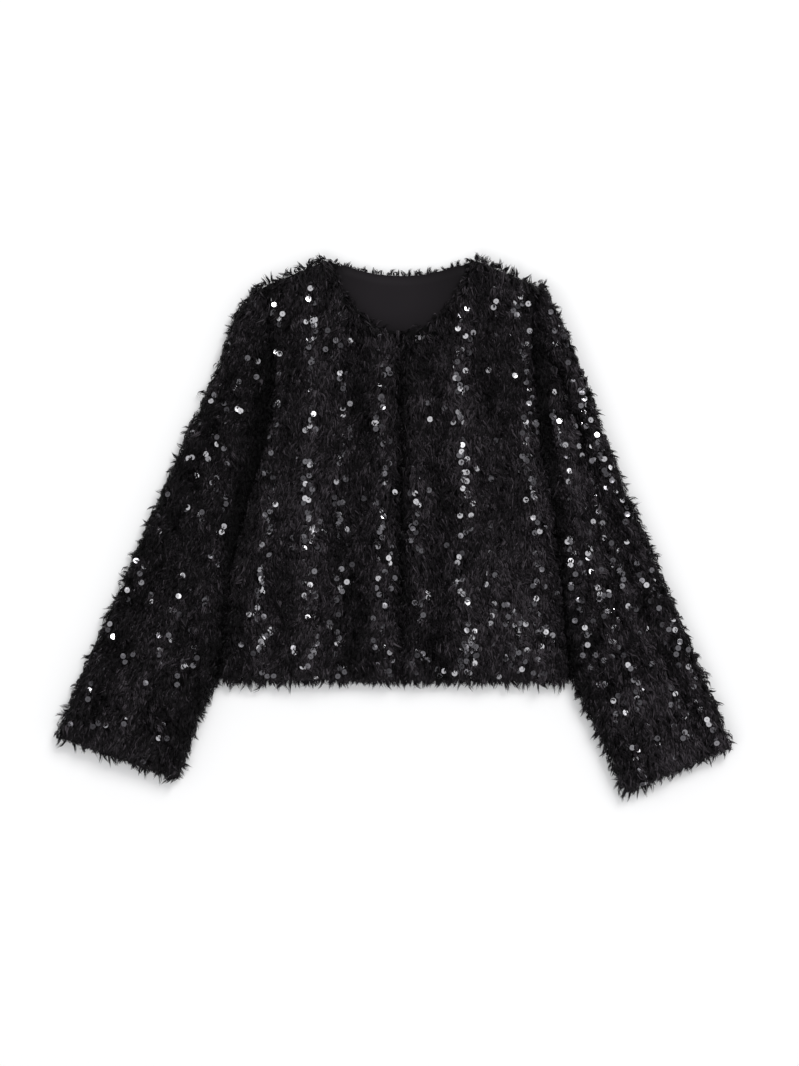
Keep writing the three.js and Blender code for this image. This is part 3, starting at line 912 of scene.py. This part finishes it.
def sleeve_lit(side, share, t, x, down, width, free):
    """The painted light and shade of a sleeve's top pile: lighter bands and fold ridges, painted shade in
    the crease beside the body.
    """
    plain, in_band, on_fold, uneven = SLEEVE_LIT
    total = np.full(np.shape(share), plain)
    stretched = t * LINE_LENGTH * 1.4
    for across, wide, strength, _ in SLEEVE_BANDS[side]:
        blotch = 0.6 + 0.5 * waves(stretched, share * 60 + across * 900, seed=36)
        total = total + in_band * strength * blotch * np.exp(-(((share - across) / wide) ** 2))
    waved = uneven * waves(share * width * 2, stretched, seed=34)
    total = total + on_fold * sleeve_fold(side, t, share) + waved
    total = total * np.interp(t, SHADE_LINES, SLEEVE_SHADE[side])
    # Painted shade in the crease beside the body
    from_body, reach = beside_body(side, x, down)
    ragged = from_body + 5 * waves(down * 2.5, x * 2.5, seed=37)
    crease = (1 - smoothstep(ragged, reach * 0.35, reach * 1.45)) * smoothstep(down, 60, 120) * (1 - free)
    # Painted shade near the inner edge of the lower sleeve
    inner = 0.45 * (1 - smoothstep(share, 0.12, 0.42)) * smoothstep(t, 3.5, 6)
    return np.clip(total, LEAST_LIT, 1) * mix(1.0, 0.05, np.clip(crease, 0, 1)) * (1 - inner)


def front_pile(side):
    """The pile of a front, its loose strands and the tufts along its edges."""
    sign = 1.0 if side == "left" else -1.0
    count = LOCKS["front"]
    v = rng.uniform(0, 1, count * 2)
    width = half_width(side, v * BODY_LENGTH) - front_edge(v * BODY_LENGTH)
    v = v[rng.uniform(0, width.max(), len(v)) < width][:count]
    u = rng.uniform(0, 1, len(v))
    points, normals = on_front(side, u, v)
    x, down = points[:, 0], points[:, 1]
    lean = 0.1 + 0.25 * smoothstep(u, 0.85, 1.0) - 0.5 * (1 - smoothstep(u, 0.0, 0.06))
    angle = rng.normal(0, TURN, len(u)) + SWING * waves(x, down, seed=11) + lean
    lengths, rise, settle = lock_sizes(len(u))
    low = 1 - np.minimum(rounded(u * FRONT_WIDTH, 14.0), rounded((1 - u) * FRONT_WIDTH, 16.0))
    shorten = (1 - 0.4 * low) * (1 - 0.4 * smoothstep(v, 0.96, 0.99))
    aside, near, shade = clumped(x, down)
    if side == "left":
        shade = shade ** (1 + np.exp(-(((x - 130) / 60) ** 2) - ((down - 450) / 90) ** 2))
    # Painted light: locks near a clump's middle stand higher and are painted lighter
    lit = front_lit(side, x, down) * mix(0.75, 1.2, near) * shade
    directions = leaning(normals, angle - sign * CLUMP_PULL * aside, sign)
    lift = shorten * mix(0.75, 1.3, near)
    groups = [(points, normals, directions, lengths * shorten, rise * lift, settle * lift, lit)]
    groups.append(strands(f"{side}_front", points, normals, directions, lit))
    # Each row of tufts: its edge, u, v, lean and how uneven it is, shortest and longest, how lit it is
    edges = (
        ("hem", evenly(210, 2.6), 1.0, (0.0, 0.5), (3, 11), 0.42),
        ("long hem", evenly(120, 7.0) * 0.6, 1.0, (0.1, 0.7), (11, 20), 0.35),
        ("long hem", evenly(90, 4.5) * 0.4 + 0.6, 1.0, (0.1, 0.6), (13, 25), 0.45),
        ("shoulder", evenly(85, 2.8), 0.0, (2.2, 0.7), (6, 16), 0.26),
        ("over shoulder", evenly(85, 2.4), 0.014, (2.5, 0.8), (7, 13), 0.2),
        ("collar", evenly(30, 2.6) * 0.35, 0.0, (2.9, 0.7), (8, 14), 0.3),
        ("side", 0.93, evenly(300, 5.0) * 0.55 + 0.45, (0.5, 0.3), (8, 13), 0.2),
        ("neck", 0.0, evenly(150, 3.4) * 0.19, (-1.0, 0.7), (4, 12), 0.26),
        ("centre", 0.0, evenly(440, 4.0) * 0.82 + 0.18, (-0.4, 0.4), (8, 14), 0.07),
    )
    for name, u, v, (lean, uneven), (low, high), shade in edges:
        u, v = np.broadcast_arrays(u, v)
        if name == "side":
            u = u + 0.07 * rng.uniform(0, 1, len(u))
        at, _ = on_front(side, u, v)
        groups.append(tufts(at, sign, lean, uneven, low, high, shade, FALLS.get(name, 0.0)))
    return pile(f"{side}_front_pile", groups)


def sleeve_pile(side):
    """The pile all round a sleeve, its loose strands and the tufts along its edges."""
    sign = 1.0 if side == "left" else -1.0
    groups = []
    for top, count in ((True, LOCKS["sleeve_top"]), (False, LOCKS["sleeve_under"])):
        line = rng.uniform(0, 1, count)
        share = rng.uniform(0, 1, count)
        points, normals = on_sleeve(side, share, line, top)
        x, down = points[:, 0], points[:, 1]
        lean = mix(0.12, 0.42, share)
        angle = rng.normal(0, TURN, count) + SWING * waves(x, down, seed=12) + lean
        aside, near, shade = clumped(x, down)
        directions = leaning(normals, angle - sign * CLUMP_PULL * aside, sign)
        lengths, rise, settle = lock_sizes(count) if top else lock_sizes(count, 1.6, 1.8)
        t = line * (LAST_LINE - CUFF_INSET)
        _, _, width, free = sleeve_place(side, t, share)
        lit = sleeve_lit(side, share, t, x, down, width, free) if top else np.full(count, UNDER_LIT)
        shorten = 1 - 0.5 * (1 - smoothstep(share * width, 5, 30)) * (1 - free)
        shorten = shorten * (1 - 0.4 * smoothstep(line, 0.965, 0.99))
        # Painted light: locks near a clump's middle stand higher and are painted lighter
        lit = lit * mix(0.75, 1.2, near) * shade ** (1.0 if side == "right" else 1.6)
        lift = shorten * (mix(0.75, 1.3, near) if top else 1.0)
        groups.append((points, normals, directions, lengths * shorten, rise * lift, settle, lit))
        if top:
            groups.append(strands(f"{side}_sleeve", points, normals, directions, lit))
    # Cuff, long tufts at the cuff, upper and lower outer edge, and the inner edge below the hem
    edges = (
        (1.0, evenly(165, 1.7), (0.05, 0.45), (4, 11)),
        (1.0, evenly(165, 4.2), (0.0, 0.6), (11, 22)),
        (evenly(110, 2.6) * 0.18, 1.0, (1.7, 0.7), (6, 15)),
        (evenly(500, 3.2) * 0.82 + 0.18, 1.0, (0.8, 0.55), (5, 16)),
        (evenly(160, 2.8) * 0.24 + 0.76, 0.0, (-0.4, 0.45), (9, 17)),
    )
    for line, share, (lean, uneven), (low, high) in edges:
        line, share = np.broadcast_arrays(line, share)
        at, _ = on_sleeve(side, share, line)
        at[:, 2] = mix(UNDER_PILE, at[:, 2], rng.uniform(0, 1, len(at)))
        shade = np.interp(line * LAST_LINE, SHADE_LINES, SLEEVE_SHADE[side])
        groups.append(tufts(at, sign, lean, uneven, low, high, 0.32 * shade, SLEEVE_FALL))
    return pile(f"{side}_sleeve_pile", groups)


def back_pile():
    """The pile under the back, and the tufts round its edges."""
    count = LOCKS["back"]
    u, v = rng.uniform(0, 1, count), rng.uniform(0, 1, count)
    x, down = back_place(u, v, *BACK_INSETS)
    points = np.stack([x, down, np.full(count, UNDER_PILE)], -1)
    normals = np.tile([0.0, 0.0, -1.0], (count, 1))
    angle = rng.normal(0, 0.3, count) + 0.25 * waves(x, down, seed=13)
    lengths, rise, settle = lock_sizes(count, 1.8, 2.0)
    lit = np.clip(UNDER_LIT + 0.12 * waves(x, down, seed=14), 0.05, 1)
    groups = [(points, normals, leaning(normals, angle, 1.0), lengths, rise, settle, lit)]
    # Hem, neck and both sides
    edges = (
        (evenly(430, 2.6), 1.0, (0.0, 0.3), (8, 17)),
        (evenly(190, 3.0) * 0.51 + 0.245, 0.0, (math.pi, 0.9), (4, 11)),
        (0.0, evenly(300, 5.0) * 0.55 + 0.45, (-0.5, 0.3), (8, 12)),
        (1.0, evenly(300, 5.0) * 0.55 + 0.45, (0.5, 0.3), (8, 12)),
    )
    for u, v, (lean, uneven), (low, high) in edges:
        x, down = back_place(*np.broadcast_arrays(u, v), *BACK_INSETS)
        at = np.stack([x, down, rng.uniform(3.0, 8.0, len(x))], -1)
        groups.append(tufts(at, 1.0, lean, uneven, low, high))
    return pile("back_pile", groups)


# Sequins

def sequins(name, centres, normals):
    """Thin discs with a hole, one at each centre."""
    count = len(centres)
    turn = np.arange(SEQUIN_SIDES) * 2 * math.pi / SEQUIN_SIDES
    flat = np.stack([np.cos(turn), np.sin(turn)], -1)
    # Rings of points: rim and hole on the face, hole and rim on the back, of a slightly dished disc
    rings = []
    rim, hole = SEQUIN_RADIUS, SEQUIN_HOLE
    for radius, height in ((rim, 0.5), (hole, 0.0), (hole, -1.0), (rim, -0.5)):
        rings.append(np.concatenate([flat * radius, np.full((SEQUIN_SIDES, 1), height * SEQUIN_THICK)], 1))
    local = np.concatenate(rings)
    helper = np.where(np.abs(normals[:, :1]) < 0.9, [[1.0, 0.0, 0.0]], [[0.0, 1.0, 0.0]])
    first = np.cross(normals, helper)
    first /= np.linalg.norm(first, axis=1, keepdims=True)
    second = np.cross(normals, first)
    points = (
        centres[:, None]
        + first[:, None] * local[None, :, :1]
        + second[:, None] * local[None, :, 1:2]
        + normals[:, None] * local[None, :, 2:]
    )
    k = np.arange(SEQUIN_SIDES)
    nxt = (k + 1) % SEQUIN_SIDES
    faces = []
    for low in range(4):
        high = (low + 1) % 4
        a, b = low * SEQUIN_SIDES, high * SEQUIN_SIDES
        faces.append(np.stack([a + k, a + nxt, b + nxt, b + k], -1))
    faces = np.concatenate(faces)
    all_faces = (np.arange(count)[:, None, None] * 4 * SEQUIN_SIDES + faces[None]).reshape(-1, 4)
    return add_mesh(name, to_metres(points.reshape(-1, 3)), all_faces, SEQUIN, smooth=False)


def tilted(normals, amount):
    out = normals + disc_rng.normal(0, amount, normals.shape)
    return out / np.linalg.norm(out, axis=1, keepdims=True)


def group_spots():
    """One group of touching sequins: their places along and beside the group's own place."""
    size = disc_rng.choice(GROUP_SIZES, p=GROUP_CHANCES)
    spots = disc_rng.permutation([(i, j) for i in (-1, 0, 1) for j in (0, 1, 2)])
    if disc_rng.uniform() < STACKED:
        spots = spots[np.argsort(np.abs(spots[:, 0]), kind="stable")]
    spots = spots[:size]
    down_pitch, across_pitch = GROUP_PITCH
    down = down_pitch * spots[:, 1] + disc_rng.normal(0, GROUP_UNEVEN, size)
    return down, across_pitch * spots[:, 0] + disc_rng.normal(0, GROUP_UNEVEN, size)


def grouped(length, amount):
    """Groups of sequins down a line: each one's place along the line and beside it."""
    along, beside, at = [], [], disc_rng.uniform(8, 30)
    least, more = GROUP_STEP
    strays, how_far = STRAY
    while at < length - 14:
        down, across = group_spots()
        along.append(at + down)
        beside.append(across)
        at += (least + disc_rng.exponential(more)) / amount
    along, beside = np.concatenate(along), np.concatenate(beside)
    stray = disc_rng.uniform(0, 1, len(along)) < strays
    beside = beside + np.where(stray, disc_rng.normal(0, how_far, len(along)), 0)
    return along, beside


def set_sequins(name, points, normals):
    """Sequins over points of the cloth. The deep ones show only in part."""
    count = len(points)
    deep = disc_rng.uniform(0, 1, count) < DEEP_SEQUINS
    height = np.where(deep, disc_rng.uniform(*DEEP_HEIGHT, count), disc_rng.uniform(*TOP_HEIGHT, count))
    amount = np.where(disc_rng.uniform(0, 1, count) < TILTED_SEQUINS, *TILTS)
    return sequins(name, points + normals * height[:, None], tilted(normals, amount[:, None]))


def front_sequins(side):
    """Sequins of a front, in its bands and patches, off its edges and its bare strip."""
    x_all, down_all = [], []
    for top_x, hem_x, _, _, amount in BODY_BANDS[side]:
        down, beside = grouped(BODY_LENGTH, amount)
        x_all.append(band_line(top_x, hem_x, down) + beside)
        down_all.append(down)
    for where, at_x, at_down, wide, high, count in SEQUIN_PATCHES:
        if where == side:
            for _ in range(count):
                down, beside = group_spots()
                x_all.append(at_x + wide * disc_rng.uniform(-1, 1) + beside)
                down_all.append(at_down + high * disc_rng.uniform(-1, 1) + down)
    x, down = np.abs(np.concatenate(x_all)), np.concatenate(down_all)
    v = down / (BODY_LENGTH - HEM_INSET)
    edge = front_edge(down)
    u = (x - edge) / (half_width(side, mix(SHOULDER_DROP, BODY_LENGTH, v)) - edge)
    keep = (u > mix(0.13, 0.02, smoothstep(v, 0.12, 0.2))) & (u < 0.97) & (v > 0.02) & (v < 0.995)
    if side == "left":
        bare_width, bare_from, bare_to = BARE_STRIP
        keep &= (x > bare_width) | (down < bare_from) | (down > bare_to)
    points, normals = on_front(side, u[keep], v[keep])
    return set_sequins(f"{side}_front_sequins", points, normals)


def sleeve_sequins(side):
    """Sequins of a sleeve's top, in its bands, out of the crease beside the body."""
    share_all, line_all = [], []
    length = LAST_LINE * LINE_LENGTH
    for across, _, _, amount in SLEEVE_BANDS[side]:
        along, beside = grouped(length, amount)
        line = along / length
        swing = 0.03 * waves(along, np.full(len(along), across * 300), seed=22)
        share = across + swing + beside / SLEEVE_WIDTH
        keep = (share > 0.1) & (share < 0.97) & (line > 0.04)
        share_all.append(share[keep])
        line_all.append(line[keep])
    points, normals = on_sleeve(side, np.concatenate(share_all), np.concatenate(line_all))
    from_body, reach = beside_body(side, points[:, 0], points[:, 1])
    open_pile = from_body > reach * 0.9
    return set_sequins(f"{side}_sleeve_sequins", points[open_pile], normals[open_pile])


def belongs(obj):
    """Ties a piece to the jacket's one body."""
    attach(obj, "root")
    return obj


# The back and its lining
back = belongs(back_shell())
back_fur = belongs(back_pile())
lining = belongs(lining_shell())
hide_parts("back")
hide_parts("back_lining")

# The fronts
for side in ("right", "left"):
    cloth = belongs(front_shell(side))
    fur = belongs(front_pile(side))
    discs = belongs(front_sequins(side))
    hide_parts(f"{side}_front")

# The sleeves
for side in ("right", "left"):
    cloth = belongs(sleeve_shell(side))
    fur = belongs(sleeve_pile(side))
    discs = belongs(sleeve_sequins(side))
    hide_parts(f"{side}_sleeve")

# Floor, seen as plain white
floor_material, _, _, floor_shader = new_material("white floor", 0.9, 0.1)
floor_shader.inputs["Base Color"].default_value = (0.9, 0.9, 0.9, 1)
floor = add_mesh(
    "floor",
    np.array([(-12, -12, 0), (12, -12, 0), (12, 12, 0), (-12, 12, 0)], float),
    [(0, 1, 2, 3)],
    floor_material,
    smooth=False,
)

# Camera, straight above. The photo's height and its middle are measured at the height of the cloth.
CAMERA_HEIGHT = 3.2
CLOTH_HEIGHT = 0.012
SENSOR_HEIGHT = 24.0
PHOTO_HEIGHT = 1.3325
PHOTO_CENTRE_X = -1.9
PHOTO_CENTRE_DOWN = 343.75
camera_data = bpy.data.cameras.new("camera")
camera_data.sensor_fit = "VERTICAL"
camera_data.sensor_height = SENSOR_HEIGHT
camera_data.lens = SENSOR_HEIGHT * (CAMERA_HEIGHT - CLOTH_HEIGHT) / PHOTO_HEIGHT
camera_data.clip_end = 50
camera = bpy.data.objects.new("camera", camera_data)
camera.location = (SHIFT_X + PHOTO_CENTRE_X / 1000, SHIFT_Y - PHOTO_CENTRE_DOWN / 1000, CAMERA_HEIGHT)
bpy.context.scene.collection.objects.link(camera)
bpy.context.scene.camera = camera


def area_light(name, location, size, power):
    """A soft square light that shines at the middle of the floor."""
    data = bpy.data.lights.new(name, "AREA")
    data.shape = "SQUARE"
    data.size = size
    data.energy = power
    light = bpy.data.objects.new(name, data)
    light.location = location
    aim = (-Vector(location)).to_track_quat("-Z", "Y")
    light.matrix_world = Matrix.Translation(location) @ aim.to_matrix().to_4x4()
    bpy.context.scene.collection.objects.link(light)


area_light("key", (3.0, 5.4, 5.2), 3.0, 375)
area_light("fill", (-3.0, -2.4, 4.4), 2.4, 38)
world = bpy.data.worlds.new("studio")
world.use_nodes = True
sky = world.node_tree.nodes["Background"]
sky.inputs["Color"].default_value = (0.985, 0.988, 1.0, 1)
sky.inputs["Strength"].default_value = 0.735
bpy.context.scene.world = world
bpy.context.scene.view_settings.view_transform = "Standard"
